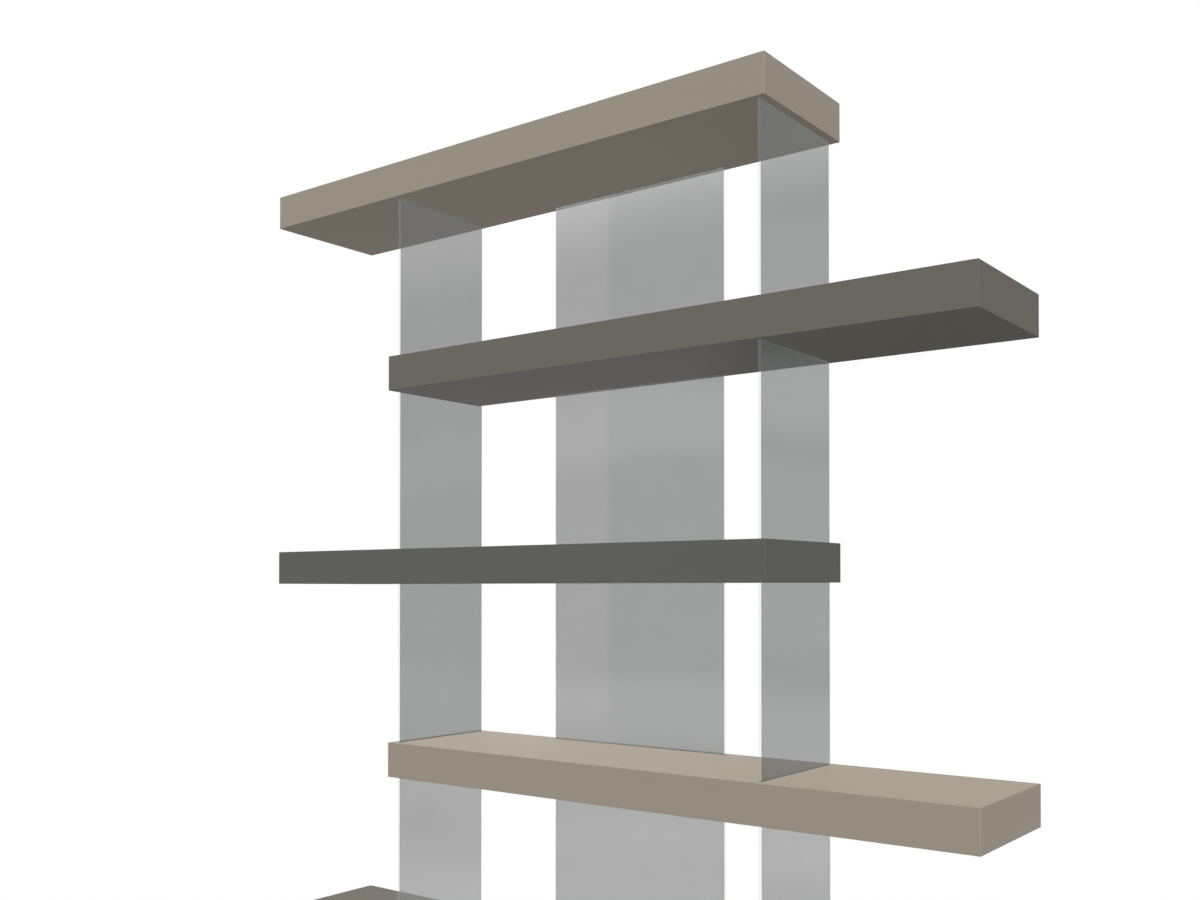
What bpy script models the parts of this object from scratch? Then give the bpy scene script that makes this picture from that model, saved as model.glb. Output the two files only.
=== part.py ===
"""Staggered bookcase: box shelves carried on upright glass panes. Metres, +Z up, the front faces -Y.

The origin is on the floor, under the middle of the whole width and depth.
"""
import math

import bmesh
import bpy
from mathutils import Matrix, Vector

# Driving dimensions of the whole
SHELF_COUNT = 5
SHELF_LENGTH = 1.400
SHELF_DEPTH = 0.310
SHELF_THICKNESS = 0.080
SHELF_SHIFT = 0.400           # how far each shelf steps sideways from the one above
BAY_HEIGHT = 0.370            # clear height from one shelf to the next
FLOOR_CLEARANCE = 0.010       # underside of the lowest shelf above the floor

# Fitting clearances
SEAT_GAP = 0.0003             # between pieces that are glued, screwed or seated on each other
SLOT_CLEARANCE = 0.0006       # round a pane, where it passes through a shelf's skin
CUT_MARGIN = 0.002            # how far a cutter runs past the face that it opens

# Shelf skins: one board folded round the core, closed by two mitred end caps
SKIN = 0.008
ARRIS = 0.001                 # rounding of the outer edges
ARRIS_STEPS = 3
END_FACE_CORNER = 0.00025     # corner radius that is left where the rounding runs into an end face
MITRE_ANGLE = 45
FOLD_FILLET = 0.0005          # glue line in the inner corners of the fold

# Shelf core: a grid of rails and ribs
RAIL = 0.030                  # front rail and end rails
BACK_RAIL = 0.040             # notched for the centre channel
RIB = 0.018
LONGEST_CELL = 0.135
CHANNEL_BLOCK = 0.046         # solid cross piece that a side channel is let into
FOOT_BLOCK = 0.050            # solid cross piece over each pair of feet

# Glass
GLASS = 0.006
GLASS_ARRIS = 0.0005
PANE_END_INSET = 0.017        # outer face of a side pane from the nearer shelf end
PANE_FRONT_INSET = 0.015
PANE_BACK_INSET = 0.015
CENTRE_PANE_WIDTH = 0.470

# Grip channel: an extruded H with one fixing flange
BOND_LINE = 0.0003            # clear adhesive between the glass and the channel
CHANNEL_WALL = 0.002
CHANNEL_WEB = 0.005
CHANNEL_LEAD_IN = 0.0005      # bevel inside each mouth
FLANGE_WIDTH = 0.009
FLANGE_THICKNESS = 0.002
FLANGE_BEAD = 0.0008          # rib along the free edge of the flange
CHANNEL_BACK_CLEARANCE = 0.0017

# Levelling feet and their threaded sockets
FOOT_COLUMNS = 3
FOOT_END_INSET = 0.060
FOOT_SIDE_INSET = 0.045
FOOT_TRAVEL = 0.015           # how far a foot can be screwed out
FOOT_DISC_RADIUS = 0.020
FOOT_DISC_THICKNESS = 0.005
FOOT_DISC_EDGE = 0.001
FOOT_COLLAR_FLATS = 0.015     # hexagon across its flats
STEM_RADIUS = 0.005
STEM_CHAMFER = 0.001
STEM_ENGAGEMENT = 0.023       # of the stem in its socket when the foot is screwed out
SOCKET_WALL = 0.0025
SOCKET_LENGTH = 0.042
SOCKET_FLANGE_RADIUS = 0.013
SOCKET_FLANGE_THICKNESS = 0.0015
ROUND_SIDES = 24
SMOOTH_ANGLE = 35             # degrees; sharper edges stay sharp in the shading

# Sizes that follow
PITCH = BAY_HEIGHT + SHELF_THICKNESS
OVERLAP = SHELF_LENGTH - SHELF_SHIFT
CORE_LENGTH = SHELF_LENGTH - 2 * (SKIN + SEAT_GAP)
CORE_DEPTH = SHELF_DEPTH - 2 * (SKIN + SEAT_GAP)
CORE_HEIGHT = SHELF_THICKNESS - 2 * (SKIN + SEAT_GAP)
CHANNEL_INNER = GLASS + 2 * BOND_LINE
CHANNEL_OUTER = CHANNEL_INNER + 2 * CHANNEL_WALL
SIDE_PANE_X = OVERLAP / 2 - PANE_END_INSET - GLASS / 2
SIDE_PANE_DEPTH = SHELF_DEPTH - PANE_FRONT_INSET - PANE_BACK_INSET
SIDE_PANE_Y = (PANE_FRONT_INSET - PANE_BACK_INSET) / 2
CENTRE_PANE_Y = SHELF_DEPTH / 2 - SKIN - CHANNEL_BACK_CLEARANCE - CHANNEL_OUTER / 2
STEM_LENGTH = FOOT_TRAVEL + STEM_ENGAGEMENT  # above the underside of the lowest shelf
SOCKET_BORE = STEM_RADIUS + SEAT_GAP
SOCKET_RADIUS = SOCKET_BORE + SOCKET_WALL

# Where the three uprights stand: name, x, y, length of glass, turn about Z of the thickness axis.
# The fixing flange of each channel points along the turned +X.
UPRIGHTS = (
    ("left", -SIDE_PANE_X, SIDE_PANE_Y, SIDE_PANE_DEPTH, 0.0),
    ("right", SIDE_PANE_X, SIDE_PANE_Y, SIDE_PANE_DEPTH, math.pi),
    ("centre", 0.0, CENTRE_PANE_Y, CENTRE_PANE_WIDTH, -math.pi / 2),
)


def clear_scene():
    for old in list(bpy.data.objects):
        bpy.data.objects.remove(old, do_unlink=True)


def linear(hex_colour):
    """Linear colour, with alpha 1, of an sRGB value such as 968D81."""
    channels = [int(hex_colour[i:i + 2], 16) / 255 for i in (0, 2, 4)]
    return [c / 12.92 if c <= 0.04045 else ((c + 0.055) / 1.055) ** 2.4 for c in channels] + [1.0]


def finish_material(name, hex_colour, roughness, metallic=0.0, transmission=0.0):
    material = bpy.data.materials.new(name)
    material.use_nodes = True
    shader = material.node_tree.nodes["Principled BSDF"]
    shader.inputs["Base Color"].default_value = linear(hex_colour)
    shader.inputs["Roughness"].default_value = roughness
    shader.inputs["Metallic"].default_value = metallic
    shader.inputs["Transmission Weight"].default_value = transmission
    return material


def add_empty(name, location):
    empty = bpy.data.objects.new(name, None)
    empty.location = location
    bpy.context.collection.objects.link(empty)
    return empty


def add_piece(name, mesh, material, location=(0, 0, 0), turn=0.0, parent=None):
    """A sub-part placed by its own location and its turn about Z."""
    piece = bpy.data.objects.new(name, mesh)
    piece.location = location
    piece.rotation_euler = (0, 0, turn)
    piece.parent = parent
    bpy.context.collection.objects.link(piece)
    if material and not mesh.materials:
        mesh.materials.append(material)
    return piece


def cut(piece, name, cutter_mesh):
    """Cuts a piece with a mesh given in the piece's own axes."""
    cutter = add_piece(name, cutter_mesh, None, parent=piece)
    cutter.hide_render = True
    cutter.display_type = "WIRE"
    boolean = piece.modifiers.new(name, "BOOLEAN")
    boolean.operation = "DIFFERENCE"
    boolean.solver = "EXACT"
    boolean.object = cutter


def mesh_from(bm, name):
    bmesh.ops.recalc_face_normals(bm, faces=bm.faces)
    mesh = bpy.data.meshes.new(name)
    bm.to_mesh(mesh)
    bm.free()
    return mesh


def box_mesh(name, boxes):
    """One mesh of boxes that stand clear of each other, each given by its lowest and highest corner."""
    bm = bmesh.new()
    for low, high in boxes:
        low, high = Vector(low), Vector(high)
        place = Matrix.Translation((low + high) / 2) @ Matrix.Diagonal((*(high - low), 1))
        bmesh.ops.create_cube(bm, size=1, matrix=place)
    return mesh_from(bm, name)


def ring_mesh(name, rings, closed):
    """Skins rings of equal count: a closed run comes back to its first ring, an open one gets end faces."""
    bm = bmesh.new()
    loops = [[bm.verts.new(point) for point in ring] for ring in rings]
    pairs = list(zip(loops, loops[1:]))
    if closed:
        pairs.append((loops[-1], loops[0]))
    for one, two in pairs:
        for i in range(len(one)):
            j = (i + 1) % len(one)
            bm.faces.new((one[i], one[j], two[j], two[i]))
    if not closed:
        bm.faces.new(loops[0])
        bm.faces.new(loops[-1])
    return mesh_from(bm, name)


def smooth(mesh):
    mesh.shade_smooth()
    mesh.set_sharp_from_angle(angle=math.radians(SMOOTH_ANGLE))


# Shelf skins


def section(x, inset, radius):
    """Rounded outline of the shelf's cross section at x, drawn in by inset."""
    half_depth = SHELF_DEPTH / 2 - inset - radius
    half_height = SHELF_THICKNESS / 2 - inset - radius
    points = []
    for corner, (side, level) in enumerate(((1, 1), (-1, 1), (-1, -1), (1, -1))):
        for step in range(ARRIS_STEPS + 1):
            angle = math.pi / 2 * (corner + step / ARRIS_STEPS)
            y = side * half_depth + radius * math.cos(angle)
            z = level * half_height + radius * math.sin(angle)
            points.append((x, y, z))
    return points


def end_section(side, angle, extra_inset=0.0):
    """Outline on the rounded end edge: 0 degrees at the long faces, 90 degrees at the end face."""
    radians = math.radians(angle)
    inset = ARRIS * (1 - math.cos(radians))
    x = side * (SHELF_LENGTH / 2 - ARRIS + ARRIS * math.sin(radians))
    return section(x, inset + extra_inset, max(ARRIS - inset, END_FACE_CORNER))


def sleeve_mesh(name):
    """The folded board: long faces outside and inside, joined by a mitre at each end."""
    inner_end = SHELF_LENGTH / 2 - SKIN
    angles = (0, MITRE_ANGLE / 2, MITRE_ANGLE)
    rings = [end_section(-1, angle) for angle in reversed(angles)]
    rings += [end_section(1, angle) for angle in angles]
    rings += [section(side * inner_end, SKIN, FOLD_FILLET) for side in (1, -1)]
    mesh = ring_mesh(name, rings, closed=True)
    smooth(mesh)
    return mesh


def end_cap_mesh(name, side):
    """A board with four mitred edges, which drops into the sleeve's mitre."""
    mitre_inset = SEAT_GAP * math.sqrt(2)
    inner = section(side * (SHELF_LENGTH / 2 - SKIN), SKIN + mitre_inset, FOLD_FILLET)
    rings = [inner, end_section(side, MITRE_ANGLE, mitre_inset), end_section(side, 90)]
    mesh = ring_mesh(name, rings, closed=False)
    smooth(mesh)
    return mesh


def pane_slots(shelf_x, low, high):
    """Boxes that open a shelf's skin for the three panes, from height low to high about its middle."""
    boxes = []
    for _, x, y, length, turn in UPRIGHTS:
        across, along = GLASS / 2 + SLOT_CLEARANCE, length / 2 + SLOT_CLEARANCE
        half_x, half_y = (along, across) if is_crosswise(turn) else (across, along)
        local_x = x - shelf_x
        boxes.append(((local_x - half_x, y - half_y, low), (local_x + half_x, y + half_y, high)))
    return boxes


def is_crosswise(turn):
    """Whether an upright with this turn runs along the shelf instead of front to back."""
    return abs(math.sin(turn)) > abs(math.cos(turn))


# Shelf core


def solid_zones(shelf_x, foot_columns):
    """Stretches of the core, along the shelf, that have no cells: end rails and cross pieces."""
    half = CORE_LENGTH / 2
    zones = [(-half, RAIL - half), (half - RAIL, half)]
    for _, x, _, _, turn in UPRIGHTS:
        if not is_crosswise(turn):
            zones.append((x - shelf_x - CHANNEL_BLOCK / 2, x - shelf_x + CHANNEL_BLOCK / 2))
    for x in foot_columns:
        zones.append((x - shelf_x - FOOT_BLOCK / 2, x - shelf_x + FOOT_BLOCK / 2))
    merged = []
    for low, high in sorted((max(low, -half), min(high, half)) for low, high in zones):
        if merged and low <= merged[-1][1] + RIB:
            merged[-1][1] = max(merged[-1][1], high)
        else:
            merged.append([low, high])
    return merged


def cells(shelf_x, foot_columns):
    """Boxes of the open cells: two rows, split by ribs into lengths up to LONGEST_CELL."""
    front = RAIL - CORE_DEPTH / 2
    back = CORE_DEPTH / 2 - BACK_RAIL
    middle = (front + back) / 2
    rows = ((front, middle - RIB / 2), (middle + RIB / 2, back))
    top = CORE_HEIGHT / 2 + CUT_MARGIN
    boxes = []
    zones = solid_zones(shelf_x, foot_columns)
    for (_, start), (end, _) in zip(zones, zones[1:]):
        count = math.ceil((end - start + RIB) / (LONGEST_CELL + RIB))
        length = (end - start - (count - 1) * RIB) / count
        for i in range(count):
            low = start + i * (length + RIB)
            boxes += [((low, y0, -top), (low + length, y1, top)) for y0, y1 in rows]
    return boxes


def channel_slots(shelf_x):
    """Boxes for the upright walls of the three channels. The centre one is a notch open to the back."""
    boxes = []
    top = CORE_HEIGHT / 2 + CUT_MARGIN
    across = CHANNEL_OUTER / 2 + SEAT_GAP
    for _, x, y, length, turn in UPRIGHTS:
        along = length / 2 + SEAT_GAP
        local_x = x - shelf_x
        if is_crosswise(turn):
            back = CORE_DEPTH / 2 + CUT_MARGIN
            boxes.append(((local_x - along, y - across, -top), (local_x + along, back, top)))
        else:
            boxes.append(((local_x - across, y - along, -top), (local_x + across, y + along, top)))
    return boxes


def flange_rebates(shelf_x):
    """Boxes for the fixing flanges, let into the underside of the core beside each slot."""
    boxes = []
    bottom = -CORE_HEIGHT / 2 - CUT_MARGIN
    top = -CORE_HEIGHT / 2 + FLANGE_THICKNESS + FLANGE_BEAD + SEAT_GAP
    near = CHANNEL_OUTER / 2 - CHANNEL_WALL / 2
    far = CHANNEL_OUTER / 2 + FLANGE_WIDTH + SEAT_GAP
    for _, x, y, length, turn in UPRIGHTS:
        along = length / 2 + SEAT_GAP
        turned = Matrix.Rotation(turn, 3, "Z")
        one = turned @ Vector((near, -along, 0))
        two = turned @ Vector((far, along, 0))
        xs = sorted((one.x + x - shelf_x, two.x + x - shelf_x))
        ys = sorted((one.y + y, two.y + y))
        boxes.append(((xs[0], ys[0], bottom), (xs[1], ys[1], top)))
    return boxes


# Grip channels and panes


def channel_profile():
    """Outline of the channel across the glass: an H whose foot has one flange, seen along the pane."""
    top = CORE_HEIGHT / 2
    outer = CHANNEL_OUTER / 2
    inner = CHANNEL_INNER / 2
    web = CHANNEL_WEB / 2
    lead = CHANNEL_LEAD_IN
    flange_end = outer + FLANGE_WIDTH
    flange_top = FLANGE_THICKNESS - top
    bead = FLANGE_BEAD
    upper_pocket = [(inner + lead, top), (inner, top - lead), (inner, web)]
    upper_pocket += [(-inner, web), (-inner, top - lead), (-inner - lead, top)]
    lower_pocket = [(-inner - lead, -top), (-inner, lead - top), (-inner, -web)]
    lower_pocket += [(inner, -web), (inner, lead - top), (inner + lead, -top)]
    flange = [(flange_end, -top), (flange_end, flange_top + bead)]
    flange += [(flange_end - 2 * bead, flange_top + bead), (flange_end - 3 * bead, flange_top)]
    flange += [(outer, flange_top)]
    return upper_pocket + [(-outer, top), (-outer, -top)] + lower_pocket + flange + [(outer, top)]


def channel_mesh(name, length):
    profile = channel_profile()
    rings = [[(x, side * length / 2, z) for x, z in profile] for side in (-1, 1)]
    return ring_mesh(name, rings, closed=False)


def pane_mesh(name, length, height):
    """A pane with ground and polished edges, thickness along X."""
    bm = bmesh.new()
    bmesh.ops.create_cube(bm, size=1, matrix=Matrix.Diagonal((GLASS, length, height, 1)))
    bmesh.ops.bevel(bm, geom=bm.edges[:], offset=GLASS_ARRIS, segments=1, affect="EDGES")
    return mesh_from(bm, name)


# Levelling feet


def round_ring(z, radius):
    turns = [2 * math.pi * i / ROUND_SIDES for i in range(ROUND_SIDES)]
    return [(radius * math.cos(turn), radius * math.sin(turn), z) for turn in turns]


def hexagon_ring(z, across_flats):
    """A hexagon with as many points as the round rings, so that it can be skinned to them."""
    points = []
    for i in range(ROUND_SIDES):
        turn = 2 * math.pi * i / ROUND_SIDES
        from_flat = (turn % (math.pi / 3)) - math.pi / 6
        radius = across_flats / 2 / math.cos(from_flat)
        points.append((radius * math.cos(turn), radius * math.sin(turn), z))
    return points


def foot_mesh(name):
    """Glide disc, hexagon collar and stem in one, with the origin on its axis at the lowest shelf's underside."""
    floor = -FLOOR_CLEARANCE
    disc_top = floor + FOOT_DISC_THICKNESS
    collar_top = -SEAT_GAP
    rings = [
        round_ring(floor, FOOT_DISC_RADIUS - FOOT_DISC_EDGE),
        round_ring(floor + FOOT_DISC_EDGE, FOOT_DISC_RADIUS),
        round_ring(disc_top - FOOT_DISC_EDGE, FOOT_DISC_RADIUS),
        round_ring(disc_top, FOOT_DISC_RADIUS - FOOT_DISC_EDGE),
        hexagon_ring(disc_top, FOOT_COLLAR_FLATS),
        hexagon_ring(collar_top, FOOT_COLLAR_FLATS),
        round_ring(collar_top, STEM_RADIUS),
        round_ring(STEM_LENGTH - STEM_CHAMFER, STEM_RADIUS),
        round_ring(STEM_LENGTH, STEM_RADIUS - STEM_CHAMFER),
    ]
    mesh = ring_mesh(name, rings, closed=False)
    smooth(mesh)
    return mesh


def socket_mesh(name):
    """Threaded sleeve with a flange that lies flush in the underside of the lowest shelf."""
    rings = [
        round_ring(0, SOCKET_BORE),
        round_ring(0, SOCKET_FLANGE_RADIUS),
        round_ring(SOCKET_FLANGE_THICKNESS, SOCKET_FLANGE_RADIUS),
        round_ring(SOCKET_FLANGE_THICKNESS, SOCKET_RADIUS),
        round_ring(SOCKET_LENGTH, SOCKET_RADIUS),
        round_ring(SOCKET_LENGTH, SOCKET_BORE),
    ]
    mesh = ring_mesh(name, rings, closed=True)
    smooth(mesh)
    return mesh


def pillar_mesh(name, places, radius, low, high):
    """One mesh of upright round cutters at the given places."""
    bm = bmesh.new()
    for x, y in places:
        place = Matrix.Translation((x, y, (low + high) / 2))
        bmesh.ops.create_cone(bm, cap_ends=True, segments=ROUND_SIDES, radius1=radius, radius2=radius,
                              depth=high - low, matrix=place)
    return mesh_from(bm, name)


def foot_places():
    """Columns along the lowest shelf, and the two rows, front and back."""
    shelf_x = shelf_centre(SHELF_COUNT).x
    reach = SHELF_LENGTH / 2 - FOOT_END_INSET
    columns = [shelf_x + reach * (2 * i / (FOOT_COLUMNS - 1) - 1) for i in range(FOOT_COLUMNS)]
    row = SHELF_DEPTH / 2 - FOOT_SIDE_INSET
    return columns, (("front", -row), ("back", row))


# Assembly


def shelf_centre(number):
    """Middle of a shelf, counted from 1 at the top. Odd shelves step to the left, even ones to the right."""
    side = -1 if number % 2 else 1
    underside = FLOOR_CLEARANCE + (SHELF_COUNT - number) * PITCH
    return Vector((side * SHELF_SHIFT / 2, 0, underside + SHELF_THICKNESS / 2))


def build_shelf(number, lacquer, core_board, metal):
    name = f"shelf_{number}"
    centre = shelf_centre(number)
    shelf = add_empty(name, centre)
    is_top, is_base = number == 1, number == SHELF_COUNT
    columns, rows = foot_places() if is_base else ((), ())
    feet = [(x - centre.x, y) for x in columns for _, y in rows]

    sleeve = add_piece(f"{name}_sleeve", sleeve_mesh(f"{name}_sleeve"), lacquer, parent=shelf)
    past = SHELF_THICKNESS / 2 + CUT_MARGIN
    slots = pane_slots(centre.x, 0 if is_base else -past, 0 if is_top else past)
    cut(sleeve, f"{name}_pane_slots", box_mesh(f"{name}_pane_slots", slots))
    for side, end in ((-1, "left"), (1, "right")):
        cap = end_cap_mesh(f"{name}_end_cap_{end}", side)
        add_piece(f"{name}_end_cap_{end}", cap, lacquer, parent=shelf)

    half = Vector((CORE_LENGTH, CORE_DEPTH, CORE_HEIGHT)) / 2
    core = add_piece(f"{name}_core", box_mesh(f"{name}_core", [(-half, half)]), core_board, parent=shelf)
    cut(core, f"{name}_cells", box_mesh(f"{name}_cells", cells(centre.x, columns)))
    cut(core, f"{name}_channel_slots", box_mesh(f"{name}_channel_slots", channel_slots(centre.x)))
    cut(core, f"{name}_flange_rebates", box_mesh(f"{name}_flange_rebates", flange_rebates(centre.x)))
    for upright, x, y, length, turn in UPRIGHTS:
        channel = channel_mesh(f"{name}_channel_{upright}", length)
        add_piece(f"{name}_channel_{upright}", channel, metal, (x - centre.x, y, 0), turn, shelf)

    if is_base:
        bottom = -SHELF_THICKNESS / 2
        clear_radius = SOCKET_RADIUS + SEAT_GAP
        recess_radius = SOCKET_FLANGE_RADIUS + SEAT_GAP
        recess_top = bottom + SOCKET_FLANGE_THICKNESS + SEAT_GAP
        recess = pillar_mesh("socket_recesses", feet, recess_radius, bottom - CUT_MARGIN, recess_top)
        cut(sleeve, "socket_recesses", recess)
        holes = pillar_mesh("socket_holes", feet, clear_radius, bottom - CUT_MARGIN, bottom + SKIN + CUT_MARGIN)
        cut(sleeve, "socket_holes", holes)
        bore_top = bottom + SOCKET_LENGTH + SEAT_GAP
        bores = pillar_mesh("socket_bores", feet, clear_radius, bottom - CUT_MARGIN, bore_top)
        cut(core, "socket_bores", bores)


def build_panes(glass):
    """Three panes for each bay. Each stands on the web of the channel below and carries the one above."""
    height = PITCH - CHANNEL_WEB - 2 * SEAT_GAP
    for bay in range(1, SHELF_COUNT):
        middle = (shelf_centre(bay).z + shelf_centre(bay + 1).z) / 2
        for upright, x, y, length, turn in UPRIGHTS:
            name = f"pane_{bay}_{upright}"
            add_piece(name, pane_mesh(name, length, height), glass, (x, y, middle), turn)


def build_feet(metal):
    columns, rows = foot_places()
    for column, x in enumerate(columns, start=1):
        for row, y in rows:
            place = (x, y, FLOOR_CLEARANCE)
            socket, foot = f"foot_socket_{row}_{column}", f"foot_{row}_{column}"
            add_piece(socket, socket_mesh(socket), metal, place)
            add_piece(foot, foot_mesh(foot), metal, place)


def build():
    clear_scene()
    taupe = finish_material("light_taupe_lacquer", "968D81", 0.45)
    umber = finish_material("dark_umber_lacquer", "68655E", 0.45)
    graphite = finish_material("graphite_lacquer", "5E5E5C", 0.45)
    core_board = finish_material("poplar_core", "C8AE86", 0.75)
    aluminium = finish_material("aluminium_extrusion", "B9BBBC", 0.35, metallic=1.0)
    steel = finish_material("zinc_plated_steel", "A9ABAD", 0.30, metallic=1.0)
    glass = finish_material("grey_glass", "A0A2A1", 0.02, transmission=1.0)
    lacquers = {1: taupe, 2: umber, 3: graphite, 4: taupe, 5: umber}
    for number in range(1, SHELF_COUNT + 1):
        build_shelf(number, lacquers.get(number, taupe), core_board, aluminium)
    build_panes(glass)
    build_feet(steel)


build()
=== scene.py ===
import math

import bmesh
import bpy
from mathutils import Matrix, Vector


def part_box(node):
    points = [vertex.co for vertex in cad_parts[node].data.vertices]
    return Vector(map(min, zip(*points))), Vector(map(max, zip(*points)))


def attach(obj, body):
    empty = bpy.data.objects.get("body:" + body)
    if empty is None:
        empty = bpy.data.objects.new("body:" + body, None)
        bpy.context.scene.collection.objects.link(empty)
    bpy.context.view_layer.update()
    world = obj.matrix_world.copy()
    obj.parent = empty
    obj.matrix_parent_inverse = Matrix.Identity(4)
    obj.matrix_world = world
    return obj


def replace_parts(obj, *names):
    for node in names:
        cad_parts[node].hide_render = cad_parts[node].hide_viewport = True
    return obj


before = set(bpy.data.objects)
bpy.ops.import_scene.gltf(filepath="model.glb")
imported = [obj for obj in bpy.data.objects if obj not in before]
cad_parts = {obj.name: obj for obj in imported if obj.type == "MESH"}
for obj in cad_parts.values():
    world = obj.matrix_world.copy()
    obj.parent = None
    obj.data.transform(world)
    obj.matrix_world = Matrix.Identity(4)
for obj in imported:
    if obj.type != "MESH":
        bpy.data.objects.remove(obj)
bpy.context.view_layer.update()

# Shelves and glass, as the frame has them
TOP_SHELF = 1
BASE_SHELF = 5
SHELF_NUMBERS = range(TOP_SHELF, BASE_SHELF + 1)
BAYS = range(1, 5)
UPRIGHTS = ("left", "right", "centre")
SKIN_PARTS = ("sleeve", "end_cap_left", "end_cap_right")
SHELF_COLOURS = {1: "taupe", 2: "umber", 3: "graphite", 4: "taupe", 5: "umber"}
COLOUR_SLOTS = {
    "taupe": "light_taupe_lacquer",
    "umber": "dark_umber_lacquer",
    "graphite": "graphite_lacquer",
}
FOOT_ROWS = ("front", "back")
FOOT_COLUMNS = (1, 2, 3)

# Fine shape of the shelf shells
SHELL_ARRIS = 0.0010          # rounding that the lacquer keeps on every outer edge
SHELL_ARRIS_STEPS = 4
CORE_GAP = 0.0003             # between the shell and its core
RAW_DEPTH = 0.0005            # a face this far under the shell's surface is raw board, darkened as painted shade
SLOT_CLEARANCE = 0.0006       # round a pane, where it passes through the shell
SOCKET_RADIUS = 0.0078        # tube of a foot's socket, above its flange
SOCKET_FLANGE = 0.0015        # thickness of the flange, which is let in flush with the underside
CUT_MARGIN = 0.0020           # how far a cutter runs past the face that it opens
FLAT = 0.9999                 # how closely the normal of a face that isn't rounded keeps to an axis

# Fine shape of the glass and its seals
GLASS_ARRIS = 0.0006          # ground and polished edge of a pane
GLASS_ARRIS_STEPS = 2
SEAL_GAP = 0.00005            # skin of the bead to the glass and the lacquer
SEAL_REACH = 0.0010           # leg of the concave bead, on the glass and on the shelf
SEAL_DEPTH = 0.0010           # how far the bead goes down into the slot
SEAL_STEPS = 4

# Fine shape of the levelling feet
GLIDE_THICKNESS = 0.0018      # nylon pad under the disc
GLIDE_INSET = 0.0007
GLIDE_ROUNDING = 0.0006
DISC_THICKNESS = 0.0050
DISC_ROUNDING = 0.0012
COLLAR_FLATS = 0.0150
COLLAR_CHAMFER = 0.0009
STEM_RADIUS = 0.0050
THREAD_PITCH = 0.0015
THREAD_DEPTH = 0.0009
THREAD_STEPS = 6              # rings along one pitch
ROUND_SIDES = 36
DISC_STEPS = 4
SMOOTH_ANGLE = 28             # degrees; sharper edges stay sharp in the shading

# Camera, measured from the photograph
CAMERA_PLACE = (1.60846, -2.11539, 0.89762)
CAMERA_TURN = 37.21           # degrees to the left of the object's depth axis
CAMERA_PITCH = 0.63           # degrees above the level
SENSOR_WIDTH = 36.0           # mm
CAMERA_LENS = 36.51           # mm
CAMERA_SHIFT = 0.1044         # the picture's middle lies above the optical axis

# Light. Irradiance is given as the share of its colour that a face sends back.
SKY_LIGHT = 0.12
FILL_LAMPS = {                # direction with irradiance, and colour
    "key": (Vector((0.76, -0.86, 0.68)), (1, 1, 1)),
    "back": (Vector((-0.65, 0.65, 0.56)), (1, 1, 1)),
    "bounce": (Vector((0, 0, -0.28)), (1.02, 0.99, 1.05)),
}
FILL_LAMP_ANGLE = 40
FLOOR_LIGHT = Vector((-0.10, 0.05, 1.0))
FLOOR_LAMP_ANGLE = 34
FLOOR_BOUNCE = 0.15           # share of its light that the floor throws back at the shelves
FLOOR_SHOWN = 0.55            # the same share for the eye, so that the soft shadow shows
FLOOR_GLOW = 1 - FLOOR_SHOWN * (FLOOR_LIGHT.z + SKY_LIGHT)  # lifts the floor to white outside the shadow
FLOOR_SIZE = 2000.0
FLOOR_POOLS = (               # painted reflections of light or shade on the floor, only in mirror images: place, radius and strength
    ((-0.2, 0.1, 0.0), 1.1, 0.9),
    ((1.0, 1.1, 0.0), 0.4, -0.33),
    ((-0.9, -1.3, 0.0), 0.75, 0.45),
)

# Glowing sheets round the set, which only mirror images see: painted reflections, whose soft bands of painted
# light and shade show in the panes. Each has its low and high corner; its colours away from a band, beside
# it, in it and at the top; the strength at the top; the heights of two bands; and the heights between which
# the bands give way to the top.
REFLECTION_SHEETS = {
    "left_reflection": {
        "low": (-3.6, -1.2, 0.27), "high": (-1.076, -1.2, 3.2),
        "plain": "B4B4B4", "dark": "B4B4B4", "light": "FFFFFF", "top": "FFFFFF",
        "strength": 2.65, "bands": (0.48, 1.5), "rise": (2.08, 2.4)},
    "front_reflection": {
        "low": (-1.076, -1.2, 0.27), "high": (0.6, -1.2, 3.2),
        "plain": "0C5242", "dark": "0C5242", "light": "D8E2DD", "top": "FFFFFF",
        "strength": 2.6, "bands": (0.47, 1.5), "rise": (2.12, 2.42)},
    "middle_reflection": {
        "low": (-0.12, 0.8, 0.345), "high": (0.66, 0.8, 3.2),
        "plain": "0C5242", "dark": "0C5242", "light": "7C8F88", "top": "DADCDB",
        "strength": 1.0, "bands": (0.58, 1.3), "rise": (1.85, 2.05)},
    "right_reflection": {
        "low": (0.66, 0.8, 0.345), "high": (3.0, 0.8, 3.2),
        "plain": "708480", "dark": "3A5F57", "light": "A8B2AE", "top": "D0D3D2",
        "strength": 1.0, "bands": (0.515, 1.43), "rise": (1.95, 2.06)},
    # a dark sheet low by the base shelf: painted shade in the mirror image on its top
    "corner_shade_reflection": {
        "low": (-2.2, 0.35, 0.02), "high": (-0.95, 0.35, 0.8),
        "plain": "0A0A0A", "dark": "0A0A0A", "light": "141414", "top": "141414",
        "strength": 1.0, "bands": (0.48, 1.5), "rise": (2.08, 2.4)},
}
REFLECTION_SWAY = 0.15             # how far a band wanders up and down along the sheet
REFLECTION_FOLD = 0.9              # width of one such wave
BAND_EDGE = (0.5, 1.0)        # stretch of the cosine wave over which a band turns light
BESIDE_EDGE = (0.0, 0.35)     # and over which the ground beside it turns dark
BELOW_RISE_EDGE = (-0.12, -0.04)     # heights from the rise between which the ground below it turns dark


def linear(hex_colour):
    """Linear colour, with alpha 1, of an sRGB value such as 968D81."""
    channels = [int(hex_colour[i:i + 2], 16) / 255 for i in (0, 2, 4)]
    return [c / 12.92 if c <= 0.04045 else ((c + 0.055) / 1.055) ** 2.4 for c in channels] + [1.0]


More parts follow.
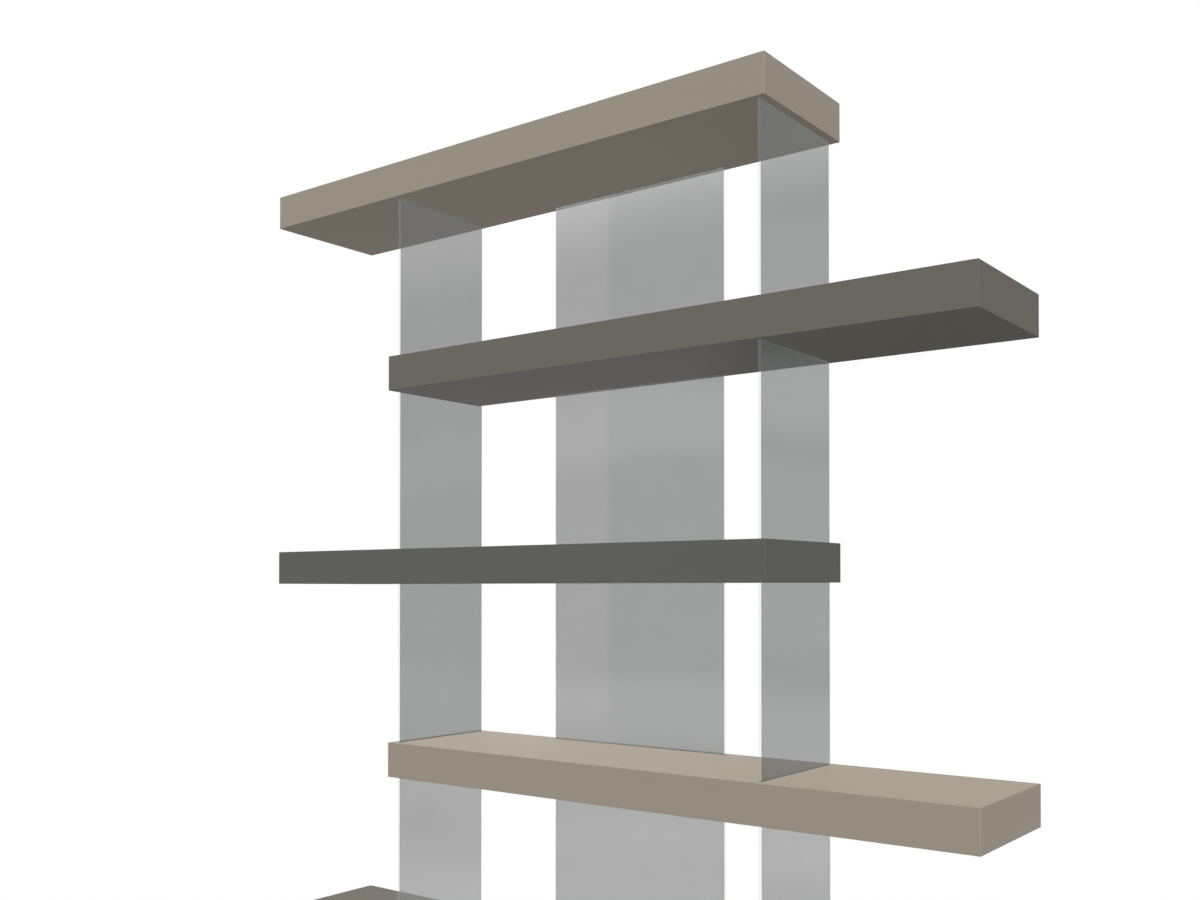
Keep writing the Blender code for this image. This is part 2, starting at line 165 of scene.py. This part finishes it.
def add(tree, kind, sockets=None, **settings):
    """Adds a node with its settings. Each socket gets a value, or a link from another node's output."""
    node = tree.nodes.new("ShaderNode" + kind)
    for name, value in settings.items():
        setattr(node, name, value)
    for name, value in (sockets or {}).items():
        if isinstance(value, bpy.types.NodeSocket):
            tree.links.new(value, node.inputs[name])
        else:
            node.inputs[name].default_value = value
    return node


def blank_material(name):
    material = bpy.data.materials.new(name)
    material.use_nodes = True
    material.node_tree.nodes.clear()
    return material, material.node_tree


# Materials

GLASS_CLOUD = 0.006           # how far the share that a pane covers wanders to each side


def matt_lacquer(name, body, clouded):
    """Matt polyurethane lacquer, sprayed: flat colour with a hint of cloud, a fine peel, no mirror image."""
    material, tree = blank_material(name)
    place = add(tree, "TexCoord").outputs["Object"]
    cloud = add(tree, "TexNoise", {"Vector": place, "Scale": 1 / 0.180, "Detail": 2.0, "Roughness": 0.45})
    tint = add(tree, "MixRGB", {
        "Fac": cloud.outputs["Fac"], "Color1": linear(body), "Color2": linear(clouded)})
    # the peel of sprayed lacquer is 1 to 2 mm wide, drawn here at 3 mm so that it shows
    peel = add(tree, "TexNoise", {"Vector": place, "Scale": 1 / 0.003, "Detail": 1.0, "Roughness": 0.4})
    relief = add(tree, "Bump", {"Height": peel.outputs["Fac"], "Strength": 0.12, "Distance": 0.0001})
    sheen = add(tree, "MapRange", {"Value": cloud.outputs["Fac"], "To Min": 0.56, "To Max": 0.64})
    shader = add(tree, "BsdfPrincipled", {
        "Base Color": tint.outputs["Color"], "Roughness": sheen.outputs["Result"], "IOR": 1.5,
        "Specular IOR Level": 0.05, "Normal": relief.outputs["Normal"]})
    add(tree, "OutputMaterial", {"Surface": shader.outputs["BSDF"]})
    return material


def shade_darkened_board():
    """Fibreboard, sawn, with short felted fibres: the inside of the shells and the walls
    of their slots. Its colour is darkened as painted shade, which keeps the slots from shining through the
    glass."""
    material, tree = blank_material("fibreboard_in_painted_shade")
    place = add(tree, "TexCoord").outputs["Object"]
    fibres = add(tree, "TexNoise", {"Vector": place, "Scale": 1 / 0.0015, "Detail": 3.0})
    # colours darkened as painted shade, where the shell's inside and its slots would lie in shadow
    tint = add(tree, "MixRGB", {
        "Fac": fibres.outputs["Fac"], "Color1": linear("57514B"), "Color2": linear("6B645C")})
    relief = add(tree, "Bump", {"Height": fibres.outputs["Fac"], "Strength": 0.3, "Distance": 0.0002})
    shader = add(tree, "BsdfPrincipled", {
        "Base Color": tint.outputs["Color"], "Roughness": 0.85, "IOR": 1.5,
        "Normal": relief.outputs["Normal"]})
    add(tree, "OutputMaterial", {"Surface": shader.outputs["BSDF"]})
    return material


def glass_finish(name, body, cover, roughness, gloss):
    """A glass surface that tints what lies behind it once, where the view enters the pane.

    cover is the share of the view that the glass itself takes, and body is the colour that it gives back.
    The share is a little uneven over a pane.
    """
    material, tree = blank_material(name)
    place = add(tree, "TexCoord").outputs["Object"]
    # float glass is wavy by a few micrometres over 60 to 80 mm, which bends its reflections softly
    wave = add(tree, "TexNoise", {"Vector": place, "Scale": 1 / 0.070, "Detail": 0.0})
    relief = add(tree, "Bump", {"Height": wave.outputs["Fac"], "Strength": 0.2, "Distance": 0.0001})
    side = add(tree, "NewGeometry")
    density = add(tree, "MapRange", {
        "Value": wave.outputs["Fac"], "To Min": cover - GLASS_CLOUD, "To Max": cover + GLASS_CLOUD})
    seen = add(tree, "Math", {0: 1.0, 1: side.outputs["Backfacing"]}, operation="SUBTRACT")
    share = add(tree, "Math", {0: density.outputs["Result"], 1: seen.outputs["Value"]}, operation="MULTIPLY")
    shader = add(tree, "BsdfPrincipled", {
        "Base Color": linear(body), "Roughness": roughness, "IOR": 1.52, "Specular IOR Level": gloss,
        "Alpha": share.outputs["Value"], "Normal": relief.outputs["Normal"]})
    add(tree, "OutputMaterial", {"Surface": shader.outputs["BSDF"]})
    return material


def poplar():
    """Poplar, planed: pale and nearly white, with a straight, faint grain along the shelf."""
    material, tree = blank_material("planed_poplar")
    place = add(tree, "TexCoord").outputs["Object"]
    stretched = add(tree, "Mapping", {"Vector": place, "Scale": (0.06, 1.0, 1.0)})
    grain = add(tree, "TexNoise", {
        "Vector": stretched.outputs["Vector"], "Scale": 1 / 0.004, "Detail": 5.0, "Roughness": 0.6})
    tint = add(tree, "MixRGB", {
        "Fac": grain.outputs["Fac"], "Color1": linear("BFA27A"), "Color2": linear("D9C3A0")})
    relief = add(tree, "Bump", {"Height": grain.outputs["Fac"], "Strength": 0.3, "Distance": 0.0002})
    shader = add(tree, "BsdfPrincipled", {
        "Base Color": tint.outputs["Color"], "Roughness": 0.72, "IOR": 1.5,
        "Normal": relief.outputs["Normal"]})
    add(tree, "OutputMaterial", {"Surface": shader.outputs["BSDF"]})
    return material


def extruded_aluminium():
    """Aluminium as it leaves the die: bright grey, with fine lines drawn along the length of the profile."""
    material, tree = blank_material("extruded_aluminium")
    place = add(tree, "TexCoord").outputs["Object"]
    across = add(tree, "Mapping", {"Vector": place, "Scale": (1.0, 0.02, 1.0)})
    lines = add(tree, "TexNoise", {"Vector": across.outputs["Vector"], "Scale": 1 / 0.0006, "Detail": 2.0})
    relief = add(tree, "Bump", {"Height": lines.outputs["Fac"], "Strength": 0.25, "Distance": 0.0001})
    polish = add(tree, "MapRange", {"Value": lines.outputs["Fac"], "To Min": 0.28, "To Max": 0.42})
    shader = add(tree, "BsdfPrincipled", {
        "Base Color": linear("C3C5C6"), "Metallic": 1.0, "Roughness": polish.outputs["Result"],
        "Normal": relief.outputs["Normal"]})
    add(tree, "OutputMaterial", {"Surface": shader.outputs["BSDF"]})
    return material


def zinc_plate():
    """Bright zinc plate on turned steel: cool grey, slightly clouded, with fine turning rings."""
    material, tree = blank_material("bright_zinc_plate")
    place = add(tree, "TexCoord").outputs["Object"]
    cloud = add(tree, "TexNoise", {"Vector": place, "Scale": 1 / 0.006, "Detail": 3.0})
    tint = add(tree, "MixRGB", {
        "Fac": cloud.outputs["Fac"], "Color1": linear("B4B6B8"), "Color2": linear("C9CACB")})
    polish = add(tree, "MapRange", {"Value": cloud.outputs["Fac"], "To Min": 0.26, "To Max": 0.38})
    rings = add(tree, "TexNoise", {"Vector": place, "Scale": 1 / 0.0005, "Detail": 1.0})
    relief = add(tree, "Bump", {"Height": rings.outputs["Fac"], "Strength": 0.15, "Distance": 0.00005})
    shader = add(tree, "BsdfPrincipled", {
        "Base Color": tint.outputs["Color"], "Metallic": 1.0, "Roughness": polish.outputs["Result"],
        "Normal": relief.outputs["Normal"]})
    add(tree, "OutputMaterial", {"Surface": shader.outputs["BSDF"]})
    return material


def black_nylon():
    """Nylon, moulded: near black with a dull, finely grained skin."""
    material, tree = blank_material("moulded_black_nylon")
    place = add(tree, "TexCoord").outputs["Object"]
    grain = add(tree, "TexNoise", {"Vector": place, "Scale": 1 / 0.0008, "Detail": 2.0})
    tint = add(tree, "MixRGB", {
        "Fac": grain.outputs["Fac"], "Color1": linear("232325"), "Color2": linear("303032")})
    relief = add(tree, "Bump", {"Height": grain.outputs["Fac"], "Strength": 0.3, "Distance": 0.0001})
    shader = add(tree, "BsdfPrincipled", {
        "Base Color": tint.outputs["Color"], "Roughness": 0.55, "IOR": 1.53,
        "Normal": relief.outputs["Normal"]})
    add(tree, "OutputMaterial", {"Surface": shader.outputs["BSDF"]})
    return material


LACQUERS = {
    "taupe": matt_lacquer("taupe_matt_lacquer", "938A7E", "958C80"),
    "umber": matt_lacquer("umber_matt_lacquer", "67645D", "69665F"),
    "graphite": matt_lacquer("graphite_matt_lacquer", "5B5B59", "5D5D5B"),
}
# board darkened as painted shade, for the shells' insides and slots
SHADE_DARKENED_BOARD = shade_darkened_board()
GREY_GLASS = glass_finish("grey_float_glass", "5C5E5D", cover=0.735, roughness=0.05, gloss=1.0)
GLASS_EDGE = glass_finish("polished_glass_edge", "A1A8A5", cover=0.18, roughness=0.15, gloss=1.0)
CLEAR_SEAL = glass_finish("clear_silicone", "8E918F", cover=0.12, roughness=0.35, gloss=0.3)
POPLAR = poplar()
ALUMINIUM = extruded_aluminium()
ZINC = zinc_plate()
NYLON = black_nylon()


# Making pieces


def add_piece(name, mesh, body, slot, *materials):
    """A new piece on one body. Like every other, it stays out of mirror images, as in the photograph."""
    for material in materials:
        mesh.materials.append(material)
    piece = bpy.data.objects.new(name, mesh)
    bpy.context.scene.collection.objects.link(piece)
    piece.visible_glossy = False
    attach(piece, body)
    return piece


def add_box(bm, low, high):
    """Adds a sharp box between two corners."""
    place = Matrix.Translation((low + high) / 2) @ Matrix.Diagonal((*(high - low), 1))
    bmesh.ops.create_cube(bm, size=1, matrix=place)


def rounded_box(low, high, radius, steps):
    """A box whose edges and corners are all rounded. Only the rounded faces are shaded smooth."""
    bm = bmesh.new()
    add_box(bm, low, high)
    bmesh.ops.bevel(bm, geom=bm.edges[:], offset=radius, segments=steps, profile=0.5, affect="EDGES")
    for face in bm.faces:
        face.smooth = max(abs(axis) for axis in face.normal) < FLAT
    return bm


def finished_mesh(bm, name):
    """The drawn form as a mesh, with its faces turned outwards."""
    bmesh.ops.recalc_face_normals(bm, faces=bm.faces)
    mesh = bpy.data.meshes.new(name)
    bm.to_mesh(mesh)
    bm.free()
    return mesh


def blocks(boxes):
    """One mesh of sharp boxes, given by their corners."""
    bm = bmesh.new()
    for low, high in boxes:
        add_box(bm, low, high)
    return finished_mesh(bm, "blocks")


def ring(bm, centre, z, radius_at):
    """A level ring of points round an upright axis. radius_at gives the radius for each share of a turn."""
    points = []
    for side in range(ROUND_SIDES):
        share = side / ROUND_SIDES
        turn = 2 * math.pi * share
        radius = radius_at(share)
        x, y = centre.x + radius * math.cos(turn), centre.y + radius * math.sin(turn)
        points.append(bm.verts.new((x, y, z)))
    return points


def round_ring(bm, centre, z, radius):
    """A ring with one radius."""
    return ring(bm, centre, z, lambda share: radius)


def skin(bm, rings):
    """Joins rings of equal count into one closed form, with a face at each end."""
    for one, two in zip(rings, rings[1:]):
        for i in range(ROUND_SIDES):
            j = (i + 1) % ROUND_SIDES
            bm.faces.new((one[i], one[j], two[j], two[i])).smooth = True
    bm.faces.new(rings[0])
    bm.faces.new(rings[-1])


def pillars(places, bottom, top, radius):
    """One mesh of upright round pillars."""
    bm = bmesh.new()
    for place in places:
        skin(bm, [round_ring(bm, place, z, radius) for z in (bottom, top)])
    for face in bm.faces:
        face.smooth = False
    return finished_mesh(bm, "pillars")


def hollowed(mesh, cutters):
    """The mesh with each of the cutters, which are meshes too, cut out of it in turn."""
    scratch = [bpy.data.objects.new("blank", mesh)]
    bpy.context.scene.collection.objects.link(scratch[0])
    for cutter_mesh in cutters:
        cutter = bpy.data.objects.new("cutter", cutter_mesh)
        bpy.context.scene.collection.objects.link(cutter)
        scratch.append(cutter)
        boolean = scratch[0].modifiers.new("cut", "BOOLEAN")
        boolean.operation, boolean.solver, boolean.object = "DIFFERENCE", "EXACT", cutter
    depsgraph = bpy.context.evaluated_depsgraph_get()
    result = bpy.data.meshes.new_from_object(scratch[0].evaluated_get(depsgraph))
    for old in scratch:
        bpy.data.objects.remove(old, do_unlink=True)
    return result


# Shelf shells


def joint_box(nodes):
    """The corners of the box round several nodes."""
    corners = [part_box(node) for node in nodes]
    low = Vector([min(pair[0][axis] for pair in corners) for axis in range(3)])
    high = Vector([max(pair[1][axis] for pair in corners) for axis in range(3)])
    return low, high


def slot_boxes(number, middle, reach):
    """Where the panes pass through a shelf's shell: only from below on the top shelf, only from above on
    the lowest, and right through on the others."""
    bay = min(number, max(BAYS))
    margin = Vector((SLOT_CLEARANCE, SLOT_CLEARANCE, 0))
    boxes = []
    for upright in UPRIGHTS:
        low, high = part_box(f"pane_{bay}_{upright}")
        low, high = low - margin, high + margin
        low.z = middle if number == BASE_SHELF else middle - reach
        high.z = middle if number == TOP_SHELF else middle + reach
        boxes.append((low, high))
    return boxes


def socket_cutters(underside, core_bottom):
    """Recesses for the flanges of the feet's sockets, and holes for their tubes."""
    sockets = [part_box(f"foot_socket_{row}_{column}") for row in FOOT_ROWS for column in FOOT_COLUMNS]
    places = [(low + high) / 2 for low, high in sockets]
    flange_radius = (sockets[0][1].x - sockets[0][0].x) / 2
    start = underside - CUT_MARGIN
    recesses = pillars(places, start, underside + SOCKET_FLANGE + CORE_GAP, flange_radius + CORE_GAP)
    return [recesses, pillars(places, start, core_bottom, SOCKET_RADIUS + CORE_GAP)]


def make_shell(number):
    """One lacquered skin without a visible joint, hollow round its core, with slots for the glass."""
    nodes = [f"shelf_{number}_{part}" for part in SKIN_PARTS]
    low, high = joint_box(nodes)
    core_low, core_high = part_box(f"shelf_{number}_core")
    gap = Vector((CORE_GAP,) * 3)
    middle = (low.z + high.z) / 2
    cavity = (core_low - gap, core_high + gap)
    cutters = [blocks([cavity]), blocks(slot_boxes(number, middle, high.z - low.z))]
    if number == BASE_SHELF:
        cutters += socket_cutters(low.z, core_low.z)
    blank = finished_mesh(rounded_box(low, high, SHELL_ARRIS, SHELL_ARRIS_STEPS), "blank")
    mesh = hollowed(blank, cutters)
    mesh.name = f"shelf_{number}_shell"
    # faces deep in the shell, round its core and in its slots, take the board darkened as painted shade
    for face in mesh.polygons:
        depth = min(min(face.center[i] - low[i], high[i] - face.center[i]) for i in range(3))
        face.material_index = int(depth > RAW_DEPTH)
    colour = SHELF_COLOURS[number]
    slot = COLOUR_SLOTS[colour]
    shell = add_piece(mesh.name, mesh, "bookcase", slot, LACQUERS[colour], SHADE_DARKENED_BOARD)
    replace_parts(shell, *nodes)


# Glass and its seals


def make_pane(bay, upright):
    """A pane with polished edges and seamed arrises."""
    node = f"pane_{bay}_{upright}"
    low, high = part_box(node)
    thin = 1 if upright == "centre" else 0
    bm = rounded_box(low, high, GLASS_ARRIS, GLASS_ARRIS_STEPS)
    for face in bm.faces:
        face.material_index = int(abs(face.normal[thin]) < FLAT)
    mesh = finished_mesh(bm, node)
    piece = add_piece(f"{node}_glass", mesh, "bookcase", "grey_glass", GREY_GLASS, GLASS_EDGE)
    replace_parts(piece, node)


def seal_profile():
    """Outline of a bead: distance from the glass, and height over the shelf's face."""
    wall = SLOT_CLEARANCE - SEAL_GAP
    leg = SEAL_REACH - SEAL_GAP
    outline = [(SEAL_GAP, -SEAL_DEPTH), (wall, -SEAL_DEPTH), (wall, SEAL_GAP)]
    for step in range(SEAL_STEPS + 1):
        angle = math.pi / 2 * step / SEAL_STEPS
        outline.append((SEAL_REACH - leg * math.sin(angle), SEAL_REACH - leg * math.cos(angle)))
    return outline


def make_seals(bay, upright):
    """Clear beads round the head and the foot of a pane, where it enters the shelves."""
    low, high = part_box(f"pane_{bay}_{upright}")
    foot = joint_box([f"shelf_{bay + 1}_{part}" for part in SKIN_PARTS])[1].z
    head = joint_box([f"shelf_{bay}_{part}" for part in SKIN_PARTS])[0].z
    bm = bmesh.new()
    for level, way in ((foot, 1), (head, -1)):
        loops = []
        for out, up in seal_profile():
            z = level + way * up
            corners = ((low.x - out, low.y - out), (high.x + out, low.y - out),
                       (high.x + out, high.y + out), (low.x - out, high.y + out))
            loops.append([bm.verts.new((x, y, z)) for x, y in corners])
        for one, two in zip(loops, loops[1:] + loops[:1]):
            for i in range(4):
                j = (i + 1) % 4
                bm.faces.new((one[i], one[j], two[j], two[i]))
    name = f"pane_{bay}_{upright}_seals"
    add_piece(name, finished_mesh(bm, name), "bookcase", "grey_glass", CLEAR_SEAL)


# Levelling feet


def hexagon_ring(bm, centre, z, flats):
    """A ring on the outline of a hexagon, which is measured across its flats."""
    def radius_at(share):
        beside_flat = 2 * math.pi * (share % (1 / 6) - 1 / 12)
        return flats / 2 / math.cos(beside_flat)
    return ring(bm, centre, z, radius_at)


def thread_ring(bm, centre, start, climb):
    """A ring of the threaded stem: its radius follows a helix that climbs one pitch in each turn."""
    def radius_at(share):
        phase = (climb / THREAD_PITCH - share) % 1.0
        return STEM_RADIUS - THREAD_DEPTH * abs(2 * phase - 1)
    return ring(bm, centre, start + climb, radius_at)


def disc_rings(bm, centre, bottom, top, radius, rounding):
    """Rings of a disc with a rounded rim."""
    rings = []
    for level, way in ((bottom, 1), (top, -1)):
        arc = []
        for step in range(DISC_STEPS + 1):
            angle = math.pi / 2 * step / DISC_STEPS
            z = level + way * rounding * (1 - math.sin(angle))
            arc.append((z, radius - rounding * (1 - math.cos(angle))))
        rings += arc[::-1] if way == 1 else arc
    return [round_ring(bm, centre, z, r) for z, r in rings]


def make_foot(row, column):
    """Turned spindle with disc, hexagon collar and threaded stem, on a nylon glide."""
    node = f"foot_{row}_{column}"
    low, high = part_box(node)
    centre = (low + high) / 2
    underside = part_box(f"shelf_{BASE_SHELF}_sleeve")[0].z
    radius = (high.x - low.x) / 2

    glide = bmesh.new()
    glide_top = low.z + GLIDE_THICKNESS
    skin(glide, disc_rings(glide, centre, low.z, glide_top, radius - GLIDE_INSET, GLIDE_ROUNDING))
    add_piece(f"{node}_glide", finished_mesh(glide, f"{node}_glide"), node, "zinc_plated_steel", NYLON)

    spindle = bmesh.new()
    disc_top = low.z + DISC_THICKNESS
    collar_top = underside - CORE_GAP
    rings = disc_rings(spindle, centre, glide_top, disc_top, radius, DISC_ROUNDING)
    rings.append(hexagon_ring(spindle, centre, disc_top, COLLAR_FLATS))
    rings.append(hexagon_ring(spindle, centre, collar_top - COLLAR_CHAMFER / 2, COLLAR_FLATS))
    rings.append(round_ring(spindle, centre, collar_top, COLLAR_FLATS / 2 - COLLAR_CHAMFER / 2))
    rings.append(round_ring(spindle, centre, collar_top, STEM_RADIUS - THREAD_DEPTH))
    count = int((high.z - collar_top) / THREAD_PITCH) * THREAD_STEPS
    for step in range(1, count):
        climb = step * THREAD_PITCH / THREAD_STEPS
        rings.append(thread_ring(spindle, centre, collar_top, climb))
    rings.append(round_ring(spindle, centre, high.z, STEM_RADIUS - THREAD_DEPTH))
    skin(spindle, rings)
    mesh = finished_mesh(spindle, f"{node}_spindle")
    mesh.set_sharp_from_angle(angle=math.radians(SMOOTH_ANGLE))
    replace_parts(add_piece(f"{node}_spindle", mesh, node, "zinc_plated_steel", ZINC), node)


# Inner pieces that the frame already has in their true shape


def dress(name, material):
    """Gives one of the frame's own solids its finish."""
    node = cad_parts[name]
    node.visible_glossy = False
    for slot in node.material_slots:
        slot.material = material


# Camera, light and floor


def make_camera():
    """The photograph's view."""
    data = bpy.data.cameras.new("camera")
    data.sensor_width = SENSOR_WIDTH
    data.lens = CAMERA_LENS
    data.shift_y = CAMERA_SHIFT
    camera = bpy.data.objects.new("camera", data)
    camera.location = CAMERA_PLACE
    camera.rotation_euler = (math.radians(90 + CAMERA_PITCH), 0, math.radians(CAMERA_TURN))
    bpy.context.scene.collection.objects.link(camera)
    bpy.context.scene.camera = camera


def make_lamp(name, light, angle, colour=(1, 1, 1)):
    """A wide, soft lamp. The vector points to it, and its length is the irradiance."""
    data = bpy.data.lights.new(name, "SUN")
    data.energy = math.pi * light.length
    data.color = colour
    data.angle = math.radians(angle)
    lamp = bpy.data.objects.new(name, data)
    lamp.rotation_mode = "QUATERNION"
    lamp.rotation_quaternion = light.to_track_quat("Z", "Y")
    lamp.visible_glossy = False
    bpy.context.scene.collection.objects.link(lamp)
    return lamp


def floor_group(name, floor, state):
    """A group of receivers that holds the floor alone: a lamp either leaves it out or lights nothing else."""
    group = bpy.data.collections.new(name)
    group.objects.link(floor)
    group.collection_objects[0].light_linking.link_state = state
    return group


def light_shelves(floor):
    """Shadowless fill for the bookcase, which leaves the floor out."""
    all_but_floor = floor_group("all_but_floor", floor, "EXCLUDE")
    for name, (light, colour) in FILL_LAMPS.items():
        lamp = make_lamp(name, light, FILL_LAMP_ANGLE, colour)
        lamp.data.use_shadow = False
        lamp.light_linking.receiver_collection = all_but_floor


def light_floor(floor):
    """Light that only the floor takes, with the bookcase's shadow in it."""
    lamp = make_lamp("overhead", FLOOR_LIGHT, FLOOR_LAMP_ANGLE)
    lamp.light_linking.receiver_collection = floor_group("floor_only", floor, "INCLUDE")


def seen_directly(tree):
    """1 for what the camera sees, also mirrored or through glass, and 0 for light on its way to a surface."""
    path = add(tree, "LightPath")
    mirrored = add(tree, "Math", {
        0: path.outputs["Is Camera Ray"], 1: path.outputs["Is Glossy Ray"]}, operation="MAXIMUM")
    through = add(tree, "Math", {
        0: mirrored.outputs["Value"], 1: path.outputs["Is Transmission Ray"]}, operation="MAXIMUM")
    return through.outputs["Value"]


def make_background():
    """White where it is seen, and a plain even sky as a light."""
    world = bpy.data.worlds.new("studio")
    bpy.context.scene.world = world
    world.use_nodes = True
    tree = world.node_tree
    tree.nodes.clear()
    level = add(tree, "MapRange", {"Value": seen_directly(tree), "To Min": SKY_LIGHT, "To Max": 1.0})
    white = add(tree, "Background", {"Color": (1, 1, 1, 1), "Strength": level.outputs["Result"]})
    add(tree, "OutputWorld", {"Surface": white.outputs["Background"]})


def banded_reflection(name, plain, dark, light, top, strength, bands, rise):
    """Sheet that glows in soft bands of painted light on painted shade, up to the rise and evenly above it: a
    painted reflection.
    """
    material, tree = blank_material(name)
    place = add(tree, "NewGeometry").outputs["Position"]
    height = add(tree, "SeparateXYZ", {"Vector": place}).outputs["Z"]
    band_drift = add(tree, "TexNoise", {"Vector": place, "Scale": 1 / REFLECTION_FOLD, "Detail": 1.0})
    sway = add(tree, "MapRange", {"Value": band_drift.outputs["Fac"], "To Min": -REFLECTION_SWAY, "To Max": REFLECTION_SWAY})
    level = add(tree, "Math", {0: height, 1: sway.outputs["Result"]}, operation="ADD")
    turn = add(tree, "MapRange", {
        "Value": level.outputs["Value"], "From Min": bands[0], "From Max": bands[1],
        "To Min": 0.0, "To Max": 2 * math.pi}, clamp=False)
    wave = add(tree, "Math", {0: turn.outputs["Result"]}, operation="COSINE")
    share = add(tree, "MapRange", {
        "Value": wave.outputs["Value"], "From Min": BAND_EDGE[0], "From Max": BAND_EDGE[1]},
        interpolation_type="SMOOTHSTEP")
    beside = add(tree, "MapRange", {
        "Value": wave.outputs["Value"], "From Min": BESIDE_EDGE[0], "From Max": BESIDE_EDGE[1]},
        interpolation_type="SMOOTHSTEP")
    below_rise = add(tree, "MapRange", {
        "Value": height, "From Min": rise[0] + BELOW_RISE_EDGE[0], "From Max": rise[0] + BELOW_RISE_EDGE[1]})
    darker = add(tree, "Math", {0: beside.outputs["Result"], 1: below_rise.outputs["Result"]}, operation="MAXIMUM")
    ground = add(tree, "MixRGB", {
        "Fac": darker.outputs["Value"], "Color1": linear(plain), "Color2": linear(dark)})
    banded = add(tree, "MixRGB", {
        "Fac": share.outputs["Result"], "Color1": ground.outputs["Color"], "Color2": linear(light)})
    upper = add(tree, "MapRange", {"Value": height, "From Min": rise[0], "From Max": rise[1]})
    whole = add(tree, "MixRGB", {
        "Fac": upper.outputs["Result"], "Color1": banded.outputs["Color"], "Color2": linear(top)})
    power = add(tree, "MapRange", {"Value": upper.outputs["Result"], "To Min": 1.0, "To Max": strength})
    glow = add(tree, "Emission", {"Color": whole.outputs["Color"], "Strength": power.outputs["Result"]})
    add(tree, "OutputMaterial", {"Surface": glow.outputs["Emission"]})
    return material


def hang_reflection_sheet(name, low, high, **reflection_colours):
    """An upright glowing sheet that no light, shadow or direct view meets: a painted reflection, for mirror
    images alone.
    """
    mesh = bpy.data.meshes.new(name)
    corners = [low, (high[0], high[1], low[2]), high, (low[0], low[1], high[2])]
    mesh.from_pydata(corners, [], [(0, 1, 2, 3)])
    mesh.materials.append(banded_reflection(name, **reflection_colours))
    hanging = bpy.data.objects.new(name, mesh)
    for way in ("camera", "diffuse", "transmission", "volume_scatter", "shadow"):
        setattr(hanging, f"visible_{way}", False)
    bpy.context.scene.collection.objects.link(hanging)


def add_pools(tree, glow):
    """The floor's glow with its pools of painted light and painted shade, which only mirror images show."""
    place = add(tree, "NewGeometry").outputs["Position"]
    mirrored = add(tree, "LightPath").outputs["Is Glossy Ray"]
    for middle, radius, strength in FLOOR_POOLS:
        away = add(tree, "VectorMath", {0: place, 1: middle}, operation="DISTANCE")
        pool = add(tree, "MapRange", {
            "Value": away.outputs["Value"], "From Max": radius, "To Min": strength, "To Max": 0.0})
        glow = add(tree, "Math", {
            0: pool.outputs["Result"], 1: mirrored, 2: glow}, operation="MULTIPLY_ADD").outputs["Value"]
    return glow


def make_floor():
    """A pale floor that keeps the soft shadow under the shelves, with pools of painted light and shade that
    show only where it is mirrored.
    """
    material, tree = blank_material("pale_floor")
    seen = seen_directly(tree)
    glow = add(tree, "MapRange", {"Value": seen, "To Min": 0.0, "To Max": FLOOR_GLOW}).outputs["Result"]
    share = add(tree, "MapRange", {"Value": seen, "To Min": FLOOR_BOUNCE, "To Max": FLOOR_SHOWN})
    matt = add(tree, "BsdfDiffuse", {"Color": share.outputs["Result"]})
    light = add(tree, "Emission", {"Color": (1, 1, 1, 1), "Strength": add_pools(tree, glow)})
    both = add(tree, "AddShader", {0: matt.outputs["BSDF"], 1: light.outputs["Emission"]})
    add(tree, "OutputMaterial", {"Surface": both.outputs["Shader"]})
    half = FLOOR_SIZE / 2
    mesh = bpy.data.meshes.new("floor")
    corners = [(-half, -half, 0), (half, -half, 0), (half, half, 0), (-half, half, 0)]
    mesh.from_pydata(corners, [], [(0, 1, 2, 3)])
    mesh.materials.append(material)
    floor = bpy.data.objects.new("floor", mesh)
    bpy.context.scene.collection.objects.link(floor)
    return floor


for number in SHELF_NUMBERS:
    make_shell(number)
    dress(f"shelf_{number}_core", POPLAR)
    for upright in UPRIGHTS:
        dress(f"shelf_{number}_channel_{upright}", ALUMINIUM)
for bay in BAYS:
    for upright in UPRIGHTS:
        make_pane(bay, upright)
        make_seals(bay, upright)
for row in FOOT_ROWS:
    for column in FOOT_COLUMNS:
        make_foot(row, column)
        dress(f"foot_socket_{row}_{column}", ZINC)

make_camera()
make_background()
floor = make_floor()
light_shelves(floor)
light_floor(floor)
# painted reflections: glowing sheets that only mirror images see
for name, glow_settings in REFLECTION_SHEETS.items():
    hang_reflection_sheet(name, **glow_settings)
bpy.context.scene.view_settings.view_transform = "Standard"
